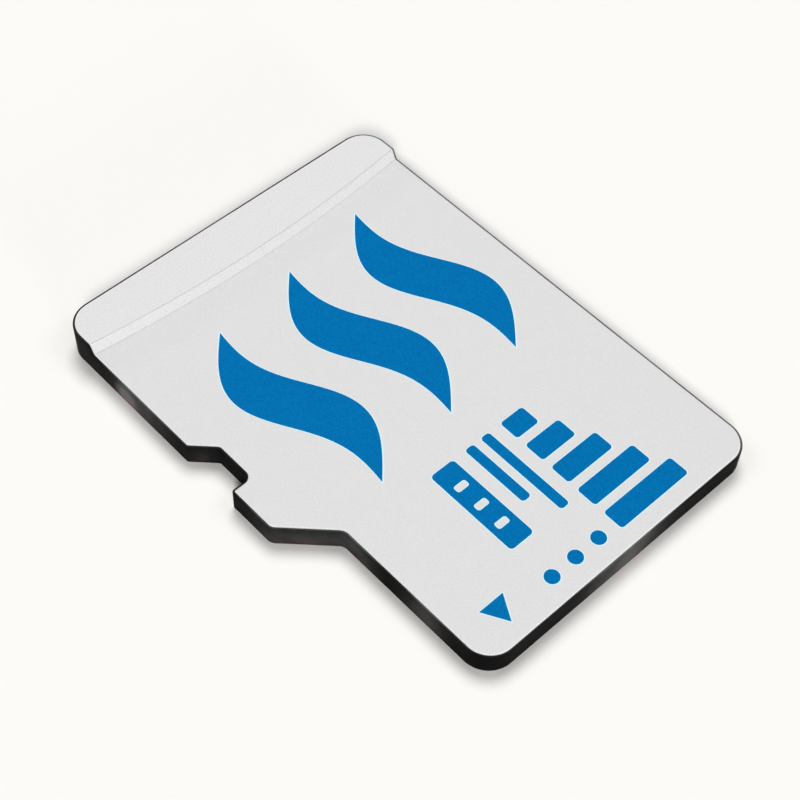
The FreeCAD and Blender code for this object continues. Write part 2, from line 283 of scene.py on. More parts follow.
def finish_piece(name, mesh, material):
    """Turns a millimetre bmesh into a smooth-shaded object in metres."""
    bmesh.ops.recalc_face_normals(mesh, faces=mesh.faces)
    bmesh.ops.scale(mesh, vec=(MM, MM, MM), verts=mesh.verts)
    data = bpy.data.meshes.new(name + "_maker")
    mesh.to_mesh(data)
    mesh.free()
    data.shade_smooth()
    data.set_sharp_from_angle(angle=SMOOTH_ANGLE)
    maker = bpy.data.objects.new(name + "_maker", data)
    bpy.context.scene.collection.objects.link(maker)
    weighted = maker.modifiers.new("flat_faces_lead", "WEIGHTED_NORMAL")
    weighted.keep_sharp = True
    weighted.weight = AREA_WEIGHT
    final = plain_copy(maker)
    final.name = name
    final.materials.clear()
    final.materials.append(material)
    piece = bpy.data.objects.new(name, final)
    bpy.context.scene.collection.objects.link(piece)
    print(f"{name}: {len(final.polygons)} faces")
    return piece


def ride_as(piece, slot, *nodes):
    """The piece stands in for these nodes, which are hidden, on the card's one body; the slot is not used.
    """
    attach(piece, "root")
    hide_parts(*nodes)


print(f"edges sharper than {math.degrees(SMOOTH_ANGLE):.0f} degrees stay sharp")

# %% [markdown]
# ## Writing node graphs
#
# Finishes and repeated shapes are both graphs of nodes. They could be wired by hand in Blender's editor,
# but a script can be read, compared and run again. One small helper adds a node, sets its options and
# either wires or sets each input by name, so that a graph reads as a list of what feeds what.

# %% A helper for node graphs
class Graph:
    """Adds nodes to a tree and wires them by input name."""

    def __init__(self, tree):
        self.tree = tree

    def add(self, kind, inputs=None, **options):
        """A new node with its options set and its inputs fed."""
        node = self.tree.nodes.new(kind)
        for name, value in options.items():
            setattr(node, name, value)
        for name, value in (inputs or {}).items():
            self.feed(node.inputs[name], value)
        return node

    def feed(self, socket, value):
        """Wires the socket to an output, or sets it to a plain value."""
        if isinstance(value, bpy.types.NodeSocket):
            self.tree.links.new(value, socket)
        else:
            socket.default_value = value

    def math(self, operation, *values):
        """The result of a Math node."""
        node = self.add("ShaderNodeMath", operation=operation)
        for socket, value in zip(node.inputs, values):
            self.feed(socket, value)
        return node.outputs[0]


print("helper:", Graph.__name__, "with add, feed and math")

# %% [markdown]
# ## Patterns for the finishes
#
# Paint, resin and gold are never one even colour. A painted image could show that, but it needs an
# unwrapped surface and goes soft close up. Noise on object coordinates is sharp at every scale and runs
# on from face to face. Because the card is so small, the fineness of a pattern is given in cells per
# millimetre.

# %% Helpers for materials
PER_MM = 1 / MM          # object coordinates are metres


def new_material(name, roughness=0.5, metallic=0.0, specular=0.5):
    """A material with its Principled shader and a graph to write the rest into."""
    material = bpy.data.materials.new(name)
    material.use_nodes = True
    shader = material.node_tree.nodes["Principled BSDF"]
    shader.inputs["Roughness"].default_value = roughness
    shader.inputs["Metallic"].default_value = metallic
    shader.inputs["Specular IOR Level"].default_value = specular
    return material, Graph(material.node_tree), shader


def pattern(graph, cells_per_mm, detail=3.0, stretch=(1, 1, 1)):
    """Noise on object coordinates with a given number of cells per millimetre."""
    place = graph.add("ShaderNodeTexCoord").outputs["Object"]
    scaled = graph.add("ShaderNodeMapping", {"Vector": place, "Scale": stretch}).outputs["Vector"]
    fineness = cells_per_mm * PER_MM
    noise = graph.add("ShaderNodeTexNoise", {"Vector": scaled, "Scale": fineness, "Detail": detail})
    return noise.outputs["Fac"]


def tint(graph, shader, value, stops):
    """Colours the shader by a ramp of (position, colour) stops."""
    node = graph.add("ShaderNodeValToRGB", {"Fac": value})
    elements = node.color_ramp.elements
    while len(elements) < len(stops):
        elements.new(0.5)        # between the two that a ramp starts with
    for element, (position, colour) in zip(elements, stops):
        element.position = position
        element.color = (*colour, 1)
    graph.feed(shader.inputs["Base Color"], node.outputs["Color"])


def two_tone(graph, shader, value, dark, light, start=0.3, end=0.7):
    """Colours the shader from dark to light over the part of a noise that is used most."""
    tint(graph, shader, value, [(start, dark), (end, light)])


def bump(graph, shader, value, depth_mm):
    """Fine relief of a given depth."""
    node = graph.add("ShaderNodeBump", {"Height": value, "Strength": 1.0, "Distance": depth_mm * MM})
    graph.feed(shader.inputs["Normal"], node.outputs["Normal"])


print(f"one cell per millimetre is a noise scale of {PER_MM:.0f}")

# %% [markdown]
# ## White paint and blue ink
#
# The paint is a pale grey-white with a fine speckle and a faint blotch. Round the lip's slope its colour
# carries painted shade in front of the foot and on the foot's round, a darker line along the crest and
# painted light on the slope between them. Its bead along the card's edge carries a painted highlight, and
# where the colour is painted bright its grain is coarser. A mask painted by hand could say where, but the
# mesh has a row of vertices on each of those lines, so it carries the tone as an attribute and the shader
# only reads it. The ink is one strong blue with the same grain, and it stands on a pale coat that has taken
# up some of its colour, so all three are one recipe.

# %% Paint and ink materials
MID_NOISE = 0.5          # noise swings to both sides of this value
FILM_ROUGHNESS = 0.5
GRAIN_SHARE = 0.46
BLOTCH_SHARE = 0.06
TONE_SHARE = 0.18
COARSE_GAIN = 2.0        # how fast a bright tone makes the grain coarser
COARSE_LIMIT = 1.2       # it adds at most this many times the plain grain


def grained(name, dark, light, specular, grain_depth):
    """Coloured film with a fine speckle, a slower blotch and the painted light and shade of the mesh's tone.
    """
    material, graph, shader = new_material(name, FILM_ROUGHNESS, specular=specular)
    grain = pattern(graph, cells_per_mm=26, detail=2.0)
    blotch = pattern(graph, cells_per_mm=2.5, detail=2.0)
    mottle = graph.math("ADD", pattern(graph, cells_per_mm=12), MID_NOISE)
    tone = graph.add("ShaderNodeAttribute", attribute_name="paint_light_and_shade").outputs["Fac"]
    tone = graph.math("MULTIPLY", tone, mottle)
    coarse = graph.math("MULTIPLY", tone, COARSE_GAIN)
    coarse = graph.add("ShaderNodeClamp", {"Value": coarse, "Max": COARSE_LIMIT}).outputs["Result"]
    grain_share = graph.math("MULTIPLY_ADD", coarse, GRAIN_SHARE, GRAIN_SHARE)
    speckle = graph.math("SUBTRACT", grain, MID_NOISE)
    mixed = graph.math("MULTIPLY_ADD", speckle, grain_share, MID_NOISE - BLOTCH_SHARE * MID_NOISE)
    mixed = graph.math("MULTIPLY_ADD", blotch, BLOTCH_SHARE, mixed)
    mixed = graph.math("MULTIPLY_ADD", tone, TONE_SHARE, mixed)
    tint(graph, shader, mixed, [(0, dark), (1, light)])
    bump(graph, shader, grain, grain_depth)
    return material


white_paint = grained("white_paint", dark=(0.506, 0.506, 0.506), light=(0.883, 0.883, 0.883),
                      specular=0.3, grain_depth=0.0015)
blue_ink = grained("blue_ink", dark=(0.0, 0.02, 0.12), light=(0.0006, 0.31, 0.76),
                   specular=0.008, grain_depth=0.0015)
pale_base = grained("pale_print_base", dark=(0.58, 0.82, 0.96), light=(0.74, 0.98, 1.0),
                    specular=0.3, grain_depth=0.0010)
print("film materials:", white_paint.name, blue_ink.name, pale_base.name)

# %% [markdown]
# ## Black resin and laminate
#
# The moulded edge is satin black. Sawing and grinding have left very fine lines along it. Soft grey
# patches on the sides and a grey bare rim beside the paint are a painted sheen: lighter colour where light
# would glint off the black. Scratches could be modelled, but at this size they are only tone. Round
# patches on object coordinates give the sides' sheen and an attribute of the mesh gives the rim's. The
# board below is glass cloth in dark resin: the same black, with finer lines for its layers, a warm tint
# and the same patches.

# %% Patches of painted sheen
SHEEN_PATCHES = [               # x, y and reach in millimetres, then how bright the patch of painted sheen is
    (KEYED_X, -6.3, 1.4, 0.12),
    (KEYED_X, -4.75, 0.6, 0.86),
    (KEYED_X, -4.1, 2.0, 0.38),
    (5.2, -1.95, 0.7, 0.24),
    (5.1, 1.5, 1.9, 0.38),
    (nose_keyed_x, 2.9, 1.1, 0.42),
    (nose_keyed_x, 5.3, 1.2, 0.34),
    (-0.6, NOSE_Y, 2.5, 0.46),
    (STRAIGHT_X, 3.4, 1.8, 0.30),
    (STRAIGHT_X, -3.9, 2.2, 0.34),
    (1.2, REAR_Y, 2.4, 0.32),
]


def painted_sheen_patches(graph):
    """Sum of soft round patches of painted sheen on object coordinates."""
    place = graph.add("ShaderNodeTexCoord").outputs["Object"]
    total = 0.0
    for x, y, reach, strength in SHEEN_PATCHES:
        away = graph.add("ShaderNodeVectorMath", operation="DISTANCE")
        graph.feed(away.inputs[0], place)
        graph.feed(away.inputs[1], (x * MM, y * MM, resin_low.z * MM))
        patch = graph.add("ShaderNodeMapRange", interpolation_type="SMOOTHSTEP", inputs={
            "Value": away.outputs["Value"], "From Max": reach * MM, "To Min": strength, "To Max": 0.0})
        total = graph.math("ADD", patch.outputs["Result"], total)
    return total


# the patches are a painted sheen
print(len(SHEEN_PATCHES), "painted sheen patches")

# %% Resin and laminate materials
SCUFF_SHARE = 0.18
LINE_SHARE = 0.06
LINE_DEPTH = 0.002
LINE_STRETCH = 0.6       # lines run along the edge, so their noise is drawn out that way
BLACK_STOPS = [(0.06, 0.003), (0.30, 0.018), (1.0, 0.16)]        # how much painted sheen, and the grey it gives


def black_with_painted_sheen(name, line_squeeze, warm):
    """Satin black with fine lines, painted sheen in grey patches and on the rim, and an optional warm tint.
    """
    material, graph, shader = new_material(name, roughness=0.42, specular=0.005)
    scuffs = pattern(graph, cells_per_mm=0.9)
    lines = pattern(graph, cells_per_mm=3.0, detail=2.0, stretch=(LINE_STRETCH, LINE_STRETCH, line_squeeze))
    rim = graph.add("ShaderNodeAttribute", attribute_name="rim_sheen").outputs["Fac"]
    sheen_amount = graph.math("ADD", painted_sheen_patches(graph), rim)
    shade = graph.math("MULTIPLY", sheen_amount, graph.math("ADD", scuffs, MID_NOISE))
    shade = graph.math("MULTIPLY_ADD", scuffs, SCUFF_SHARE, shade)
    shade = graph.math("MULTIPLY_ADD", lines, LINE_SHARE, shade)
    stops = [(position, (grey * (1 + warm), grey, grey)) for position, grey in BLACK_STOPS]
    tint(graph, shader, shade, stops)
    bump(graph, shader, lines, LINE_DEPTH)
    return material


resin_black = black_with_painted_sheen("black_resin", line_squeeze=14, warm=0.0)
laminate = black_with_painted_sheen("dark_laminate", line_squeeze=30, warm=0.25)
print("black materials:", resin_black.name, laminate.name)

# %% [markdown]
# ## Lacquer, gold, silicon and ceramic
#
# The lacquer underneath is smooth, with a slight orange-peel. The contacts are hard gold over nickel,
# with hairlines along the way that a socket's springs wipe. One even colour would do from afar, but noise
# that is drawn out along the wiping gives gold its glint up close. The chips inside are hidden by the
# resin, yet they keep finishes of their own for anyone who opens the model.

# %% Underside materials
lacquer, graph, shader = new_material("black_lacquer", roughness=0.36, specular=0.40)
peel = pattern(graph, cells_per_mm=7.0)
two_tone(graph, shader, peel, dark=(0.010, 0.011, 0.012), light=(0.020, 0.021, 0.022))
bump(graph, shader, peel, depth_mm=0.004)

gold, graph, shader = new_material("hard_gold", metallic=1.0)
hairlines = pattern(graph, cells_per_mm=14.0, stretch=(1, 0.06, 1))
two_tone(graph, shader, hairlines, dark=(0.78, 0.52, 0.20), light=(0.92, 0.66, 0.29))
rough = graph.add("ShaderNodeMapRange", {"Value": hairlines, "To Min": 0.22, "To Max": 0.38})
graph.feed(shader.inputs["Roughness"], rough.outputs["Result"])
bump(graph, shader, hairlines, depth_mm=0.0008)
print("underside materials:", lacquer.name, gold.name)

# %% Materials of the hidden chips
silicon, graph, shader = new_material("thinned_silicon", roughness=0.25, metallic=0.6)
sheen = pattern(graph, cells_per_mm=5.0)
two_tone(graph, shader, sheen, dark=(0.13, 0.14, 0.17), light=(0.20, 0.21, 0.25))

ceramic, graph, shader = new_material("chip_ceramic", roughness=0.45)
crystals = pattern(graph, cells_per_mm=20.0)
two_tone(graph, shader, crystals, dark=(0.36, 0.27, 0.18), light=(0.48, 0.38, 0.27))

HIDDEN_FINISH = {"silicon": silicon, "ceramic_chip": ceramic, "gold_contact": gold}
for part in frame["record"]["subparts"]:
    if part["material_slot"] in HIDDEN_FINISH:
        slots = frame["nodes"][part["node"]].data.materials
        slots.clear()
        slots.append(HIDDEN_FINISH[part["material_slot"]])
print("chip finishes:", ", ".join(HIDDEN_FINISH))

# %% [markdown]
# ## The moulded body
#
# Black resin is moulded over the whole board, with the lip's step in its top and a slightly rounded rim.
# It could be a copy of the frame's solid with bevelled edges, but that mesh is loose triangles, on which
# a bevel tears. Rings give clean quads instead: one at the board, then a quarter round of them up to the
# top. The last ring carries the rim's painted sheen, which is strongest along the straight side.

# %% Resin
RIM_ROUND = 0.02
RIM_SHEEN = 0.19
STRAIGHT_SIDE_SHEEN = 0.86


def quarter_round(inset, level, width, height):
    """(inset, level) pairs of a rounded top edge, from its foot to the flat top."""
    pairs = []
    for step in range(ROUND_STEPS + 1):
        angle = math.pi / 2 * step / ROUND_STEPS
        pairs.append((inset + width * (1 - math.cos(angle)), level + height * math.sin(angle)))
    return pairs


def edge_share(distance):
    """1 for a point on an edge of the card, falling to 0 where the edge's corner round ends."""
    return max(0.0, 1 - distance / CORNER_RADIUS)


mesh = bmesh.new()
sheen_layer = mesh.verts.layers.float.new("rim_sheen")
rings = [add_ring(mesh, 0, board_high.z, follow_lip=False)]
rings += [add_ring(mesh, *pair) for pair in quarter_round(0, RESIN_TOP - RIM_ROUND, RIM_ROUND, RIM_ROUND)]
add_walls(mesh, rings)
mesh.faces.new(rings[0][::-1])
add_cap(mesh, rings[-1], RESIN_TOP)
# The rim's grey is a painted sheen, strongest along the straight side.
for vertex in rings[-1]:
    vertex[sheen_layer] = RIM_SHEEN + (STRAIGHT_SIDE_SHEEN - RIM_SHEEN) * edge_share(vertex.co.x - STRAIGHT_X)
ride_as(finish_piece("moulded_resin", mesh, resin_black), "black_resin", "resin_body")

# %% [markdown]
# ## The laminate
#
# The board under the resin shows only as a thin band round the card's edge. A plain box would do inside,
# but the band is cut with the card, so it has the card's outline. Its edges are broken by a few
# thousandths of a millimetre, which leaves a fine line where board and resin meet, as on the real card.

# %% Laminate
BOARD_EDGE = 0.006

mesh = bmesh.new()
edge_pairs = [(BOARD_EDGE, board_low.z), (0, board_low.z + BOARD_EDGE),
              (0, board_high.z - BOARD_EDGE), (BOARD_EDGE, board_high.z)]
rings = [add_ring(mesh, inset, level, follow_lip=False) for inset, level in edge_pairs]
add_walls(mesh, rings)
mesh.faces.new(rings[0][::-1])
mesh.faces.new(rings[-1])
ride_as(finish_piece("laminate_core", mesh, laminate), "laminate", "board")

# %% [markdown]
# ## The paint
#
# The white coat lies on the resin inside a narrow bare margin, and surface tension leaves a rounded bead
# along its edge. A Solidify modifier could thicken a copy of the top, but it would give a square edge, so
# the coat is again a stack of rings, with a cap below and a cap above. Its vertices carry the tone that
# the shader reads: painted shade in front of the slope and on its foot, a darker line on its crest,
# painted light on the slope between them, and a painted highlight on the bead, brightest at the rear.

# %% Paint
PAINT_BEAD = 0.045
# Negative tones ahead of the foot and on its round are painted shade, the rise to 2.6 is painted light on
# the slope, and the crest's round is darker.
SHADE_AHEAD_TONES = [0, -0.35, -0.7, -1.1]             # a tone of 1 is about nine of 255 steps lighter
FOOT_TONES = [-1.3, -1.4, -1.2, -0.4, 0.9, 2.6]
CREST_TONES = [2.6, 0.3, -1.8, -2.0, -0.4, 0.5]
# The bead's tones are a painted highlight along the coat's edge, brightest at the rear.
SIDE_BEAD_HIGHLIGHT = 1.0
NOSE_BEAD_HIGHLIGHT = 1.4
REAR_BEAD_HIGHLIGHT = 3.2

station_tones = SHADE_AHEAD_TONES + FOOT_TONES + CREST_TONES
mesh = bmesh.new()
tone = mesh.verts.layers.float.new("paint_light_and_shade")
rings = [add_ring(mesh, *pair) for pair in quarter_round(PAINT_MARGIN, RESIN_TOP, PAINT_BEAD, PAINT)]
add_walls(mesh, rings)
add_cap(mesh, rings[0], RESIN_TOP)
add_cap(mesh, rings[-1], BODY_TOP)
for vertex in mesh.verts:
    back = LIP_BOW - math.hypot(vertex.co.x, vertex.co.y - bow_centre_y)
    nearest = min(range(len(STATIONS)), key=lambda j: abs(STATIONS[j][0] - back))
    vertex[tone] = station_tones[nearest]
for ring in rings[:-1]:
    for vertex in ring:
        at_nose = (NOSE_BEAD_HIGHLIGHT - SIDE_BEAD_HIGHLIGHT) * edge_share(NOSE_Y - vertex.co.y)
        at_rear = (REAR_BEAD_HIGHLIGHT - SIDE_BEAD_HIGHLIGHT) * edge_share(vertex.co.y - REAR_Y)
        vertex[tone] = SIDE_BEAD_HIGHLIGHT + at_nose + at_rear
ride_as(finish_piece("paint_coat", mesh, white_paint), "white_paint", "top_paint")

# %% [markdown]
# ## The lacquer film
#
# On the underside, black lacquer covers the copper and leaves a window round each contact. A boolean
# could cut the windows, but on a film this thin it often leaves slivers. The film is the card's outline
# with eight rounded holes, so its two faces are filled as polygons with holes, and its walls join them.

# %% Lacquer with eight windows
WINDOW_CLEARANCE = 0.04
CONTACT_RADIUS = 0.1
FILM_EDGE = 0.012
CONTACT_COUNT = 8
CONTACTS = [f"contact_{i + 1}" for i in range(CONTACT_COUNT)]


def window_points(node):
    """Rounded rectangle a little larger than a contact."""
    low, high = box_mm(node)
    clearance = Vector((WINDOW_CLEARANCE, WINDOW_CLEARANCE, 0))
    low -= clearance
    high += clearance
    places = [(low.x, low.y), (high.x, low.y), (high.x, high.y), (low.x, high.y)]
    corners = [(x, y, CONTACT_RADIUS + WINDOW_CLEARANCE) for x, y in places]
    return [point for i in range(len(corners)) for point, normal in corner_arc(corners, i)]


mesh = bmesh.new()
film_pairs = [(FILM_EDGE, mask_low.z), (0, mask_low.z + FILM_EDGE), (0, mask_high.z)]
rings = [add_ring(mesh, inset, level, follow_lip=False) for inset, level in film_pairs]
add_walls(mesh, rings)
bottom_loops = [rings[0]]
top_loops = [rings[-1]]
for node in CONTACTS:
    points = window_points(node)
    bottom_loops.append([mesh.verts.new((p.x, p.y, mask_low.z)) for p in points])
    top_loops.append([mesh.verts.new((p.x, p.y, mask_high.z)) for p in points])
    add_walls(mesh, [bottom_loops[-1], top_loops[-1]])
for loops in (bottom_loops, top_loops):
    flat = [vertex for loop in loops for vertex in loop]
    for triangle in tessellate_polygon([[vertex.co for vertex in loop] for loop in loops]):
        mesh.faces.new([flat[k] for k in triangle])
ride_as(finish_piece("lacquer_film", mesh, lacquer), "solder_mask", "solder_mask")

# %% [markdown]
# ## Geometry trees
#
# Contacts and printed shapes repeat at a pitch, and each is a flat plate with rounded corners. Copies
# could be placed in a Python loop, but a geometry tree keeps the rule: its sizes are named inputs that
# can be changed and run again. The trees here share a few steps, so those are helpers: draw a rounded
# shape, fill it, set it on a row of points, thicken it and set its material.

# %% Helpers that start and close a tree
WELD = 0.0005            # millimetres


def new_tree(name, sizes):
    """A geometry tree with named inputs, its graph and its input sockets."""
    tree = bpy.data.node_groups.new(name, "GeometryNodeTree")
    tree.interface.new_socket("Geometry", in_out="OUTPUT", socket_type="NodeSocketGeometry")
    for label, value in sizes.items():
        kind = "NodeSocketInt" if isinstance(value, int) else "NodeSocketFloat"
        tree.interface.new_socket(label, in_out="INPUT", socket_type=kind)
    tree.interface.new_socket("Finish", in_out="INPUT", socket_type="NodeSocketMaterial")
    graph = Graph(tree)
    return tree, graph, graph.add("NodeGroupInput").outputs


def join(graph, *parts):
    """Several geometries as one."""
    node = graph.add("GeometryNodeJoinGeometry")
    for part in parts:
        graph.feed(node.inputs["Geometry"], part)
    return node.outputs["Geometry"]


def realized(graph, geometry):
    """Instances turned into real geometry."""
    return graph.add("GeometryNodeRealizeInstances", {"Geometry": geometry}).outputs["Geometry"]


def welded(graph, geometry):
    """Geometry without double vertices."""
    node = graph.add("GeometryNodeMergeByDistance", {"Geometry": geometry, "Distance": WELD})
    return node.outputs["Geometry"]


def close_tree(graph, faces, given):
    """Thickens flat faces into closed plates, sets their material and ends the tree."""
    raised = graph.add("GeometryNodeExtrudeMesh", {
        "Mesh": faces, "Offset Scale": given["Thickness"], "Individual": False})
    under = graph.add("GeometryNodeFlipFaces", {"Mesh": faces}).outputs["Mesh"]
    plates = welded(graph, realized(graph, join(graph, raised.outputs["Mesh"], under)))
    finished = graph.add("GeometryNodeSetMaterial", {"Geometry": plates, "Material": given["Finish"]})
    graph.add("NodeGroupOutput", {"Geometry": finished.outputs["Geometry"]})


print(f"doubles closer than {WELD} mm are merged")


# %% A helper that runs a tree
def grow(mesh, tree, sizes, finish, place, turn=0.0):
    """Runs a tree once and adds its plain mesh to a bmesh, turned and set in its place."""
    maker = bpy.data.objects.new(tree.name + "_maker", bpy.data.meshes.new(tree.name))
    bpy.context.scene.collection.objects.link(maker)
    modifier = maker.modifiers.new(tree.name, "NODES")
    modifier.node_group = tree
    for socket in tree.interface.items_tree:
        if socket.in_out == "INPUT":
            modifier[socket.identifier] = finish if socket.name == "Finish" else sizes[socket.name]
    made = plain_copy(maker)
    made.transform(Matrix.Translation(place) @ Matrix.Rotation(turn, 4, "Z"))
    mesh.from_mesh(made)
    bpy.data.meshes.remove(made)
    print(f"{tree.name}: {len(mesh.faces)} faces so far")


# %% Helpers that draw, move and repeat
FILLET_STEPS = 10        # points on each rounded corner


def half(graph, value):
    """Half of a value."""
    return graph.math("MULTIPLY", value, 0.5)


def rounded_curve(graph, width, height, radius):
    """Closed rectangle curve with round corners, centred on the origin."""
    curve = graph.add("GeometryNodeCurvePrimitiveQuadrilateral", {"Width": width, "Height": height})
    rounded = graph.add("GeometryNodeFilletCurve", mode="POLY", inputs={
        "Curve": curve.outputs["Curve"], "Count": FILLET_STEPS, "Radius": radius, "Limit Radius": True})
    return rounded.outputs["Curve"]


def filled(graph, curve, mode="NGONS"):
    """Flat faces inside closed curves."""
    return graph.add("GeometryNodeFillCurve", {"Curve": curve}, mode=mode).outputs["Mesh"]


def flat_vector(graph, x=0.0, y=0.0):
    """A vector in the plane."""
    return graph.add("ShaderNodeCombineXYZ", {"X": x, "Y": y}).outputs["Vector"]


def moved(graph, geometry, y):
    """Geometry shifted along Y."""
    shift = flat_vector(graph, y=y)
    node = graph.add("GeometryNodeTransform", {"Geometry": geometry, "Translation": shift})
    return node.outputs["Geometry"]


def row_of_points(graph, count, x=0.0, y=0.0):
    """Points from the origin on, one step apart."""
    step = flat_vector(graph, x, y)
    node = graph.add("GeometryNodeMeshLine", {"Count": count, "Offset": step}, mode="OFFSET")
    return node.outputs["Mesh"]


def on_points(graph, points, instance, selection=True):
    """The instance on each selected point."""
    return graph.add("GeometryNodeInstanceOnPoints", {
        "Points": points, "Instance": instance, "Selection": selection}).outputs["Instances"]


def place_in_row(graph):
    """Each point's number in its row, from 0."""
    return graph.add("GeometryNodeInputIndex").outputs["Index"]


def position(graph):
    """X, Y and Z of each vertex."""
    place = graph.add("GeometryNodeInputPosition").outputs["Position"]
    return graph.add("ShaderNodeSeparateXYZ", {"Vector": place}).outputs


print("steps on a rounded corner:", FILLET_STEPS)

# %% [markdown]
# ## Gold contacts
#
# Eight contacts repeat at one pitch, and the two that carry power reach further forward, so that they
# touch a socket's springs first. One pad could be copied and two of the copies stretched, but that would
# stretch their round corners too. So the tree draws a pad of each length and chooses between them by
# index.

# %% The contact row
POWER_CONTACTS = ("contact_4", "contact_6")


def pad(graph, given, length):
    """A filled rounded rectangle whose rear end lies on the X axis."""
    faces = filled(graph, rounded_curve(graph, given["Width"], length, given["Radius"]))
    return moved(graph, faces, y=half(graph, length))


first_low, first_high = box_mm(CONTACTS[0])
pad_sizes = {
    "Count": len(CONTACTS),
    "Pitch": box_mm(CONTACTS[1])[0].x - first_low.x,
    "Width": first_high.x - first_low.x,
    "Length": first_high.y - first_low.y,
    "Lead": box_mm(POWER_CONTACTS[0])[1].y - first_high.y,
    "Radius": CONTACT_RADIUS,
    "Thickness": first_high.z - first_low.z,
}
contact_tree, graph, given = new_tree("contact_row", pad_sizes)
index = place_in_row(graph)
carries_power = graph.math("ADD", *[
    graph.math("COMPARE", index, CONTACTS.index(node)) for node in POWER_CONTACTS])
plain_pad = pad(graph, given, given["Length"])
long_pad = pad(graph, given, graph.math("ADD", given["Length"], given["Lead"]))
points = row_of_points(graph, given["Count"], x=given["Pitch"])
pads = join(graph, on_points(graph, points, long_pad, carries_power),
            on_points(graph, points, plain_pad, graph.math("SUBTRACT", 1.0, carries_power)))
close_tree(graph, realized(graph, pads), given)

first_place = ((first_low.x + first_high.x) / 2, first_low.y, first_low.z)
mesh = bmesh.new()
grow(mesh, contact_tree, pad_sizes, gold, first_place)
ride_as(finish_piece("contact_row", mesh, gold), "gold_contact", *CONTACTS)

# %% [markdown]
# ## Printed waves
#
# Three ribbons swing across the face like streams. They could be curves with a changing width, but a
# printed film needs flat faces and a clean edge. So one tree bends a flat grid by a sine, narrows it to a
# point at both ends and sets three copies with a stagger. The tree will run twice: here for the blue
# itself, and later, a little wider, for the pale coat that the blue stands on.

# %% Where the print lies
BASE_COAT = 0.004        # height of the pale coat
PRINT_NOSE_MARGIN = 0.55
MARKS_LENGTH = 4.3       # the stretch behind the nose that is kept for the marks
WAVE_LIP_MARGIN = 0.5
WAVE_MARKS_MARGIN = 0.7
WAVE_SIDE_MARGIN = 1.0
WAVE_COUNT = 3
WAVE_WIDTH = 1.7
WAVE_SWING = 0.55
WAVE_STAGGER = 0.4

INK_LEVEL = BODY_TOP + BASE_COAT
INK_DEPTH = box_mm("print_waves")[1].z - INK_LEVEL
print_front_y = NOSE_Y - PRINT_NOSE_MARGIN
marks_y = print_front_y - MARKS_LENGTH
waves_y = lip_foot_y + WAVE_LIP_MARGIN
wave_reach = WAVE_SIDE_MARGIN + WAVE_SWING + WAVE_WIDTH / 2
first_wave_x = STRAIGHT_X + wave_reach
last_wave_x = latch_x - wave_reach
print(f"ink {INK_DEPTH:.3f} mm deep, waves from {first_wave_x:.2f} to {last_wave_x:.2f} mm")

# %% The wave ribbons
RIBBON_ROWS = 161        # rows of vertices along a ribbon

wave_sizes = {
    "Count": WAVE_COUNT,
    "Pitch": (last_wave_x - first_wave_x) / (WAVE_COUNT - 1),
    "Stagger": WAVE_STAGGER,
    "Length": marks_y - WAVE_MARKS_MARGIN - waves_y - WAVE_STAGGER * (WAVE_COUNT - 1),
    "Width": WAVE_WIDTH,
    "Swing": WAVE_SWING,
    "Spread": 0.0,
    "Thickness": INK_DEPTH,
}
wave_tree, graph, given = new_tree("wave_ribbons", wave_sizes)
# The grid is 1 long and runs from -1 to 1 across, so a vertex's place is its share of the ribbon.
grid = graph.add("GeometryNodeMeshGrid", {
    "Size X": 2.0, "Size Y": 1.0, "Vertices X": 3, "Vertices Y": RIBBON_ROWS})
spot = position(graph)
along = graph.math("ADD", spot["Y"], 0.5)
swing = graph.math("MULTIPLY", given["Swing"], graph.math("SINE", graph.math("MULTIPLY", along, math.tau)))
narrowing = graph.math("SINE", graph.math("MULTIPLY", along, math.pi))
half_width = graph.math("MULTIPLY_ADD", half(graph, given["Width"]), narrowing, given["Spread"])
reach = graph.math("MULTIPLY_ADD", given["Spread"], 2.0, given["Length"])
bent = flat_vector(graph, x=graph.math("MULTIPLY_ADD", spot["X"], half_width, swing),
                   y=graph.math("SUBTRACT", graph.math("MULTIPLY", along, reach), given["Spread"]))
ribbon = graph.add("GeometryNodeSetPosition", {"Geometry": grid.outputs["Mesh"], "Position": bent})
points = row_of_points(graph, given["Count"], x=given["Pitch"], y=given["Stagger"])
ribbons = on_points(graph, points, welded(graph, ribbon.outputs["Geometry"]))
close_tree(graph, realized(graph, ribbons), given)

mesh = bmesh.new()
grow(mesh, wave_tree, wave_sizes, blue_ink, (first_wave_x, waves_y, INK_LEVEL))
ride_as(finish_piece("blue_waves", mesh, blue_ink), "blue_ink", "print_waves")

# %% [markdown]
# ## Printed marks
#
# In front of the waves stand rising bars, two lines, a row of dots, a slotted panel and the arrow that
# shows which end goes in. Each could be a mesh of its own, but bars, lines and dots are all one thing: a
# row of rounded bars whose length changes from one to the next, where a dot is a bar as long as it is
# wide. So one tree makes them. It stretches the upper half of each bar by its place in the row, which
# keeps the corners round. The panel is a second tree, because its slots are holes.

# %% Helpers for shapes that spread and stretch
def spread_curve(graph, given):
    """Rounded rectangle of the tree's width and length, grown by its spread on every side."""
    width = graph.math("MULTIPLY_ADD", given["Spread"], 2.0, given["Width"])
    length = graph.math("MULTIPLY_ADD", given["Spread"], 2.0, given["Length"])
    return rounded_curve(graph, width, length, graph.math("ADD", given["Radius"], given["Spread"]))


def stored(graph, geometry, name, value):
    """Geometry that carries a value under a name."""
    node = graph.add("GeometryNodeStoreNamedAttribute", {"Geometry": geometry, "Name": name, "Value": value})
    return node.outputs["Geometry"]


def recalled(graph, name):
    """The value that geometry carries under a name."""
    node = graph.add("GeometryNodeInputNamedAttribute", {"Name": name}, data_type="FLOAT")
    return node.outputs["Attribute"]


print("helpers:", spread_curve.__name__, stored.__name__, recalled.__name__)

# %% A tree for rows of bars
BAR_COUNT = 5
BAR_GAP = 0.28
BAR_SHORTEST = 0.8
BAR_LONGEST = 2.5
BAR_RADIUS = 0.1

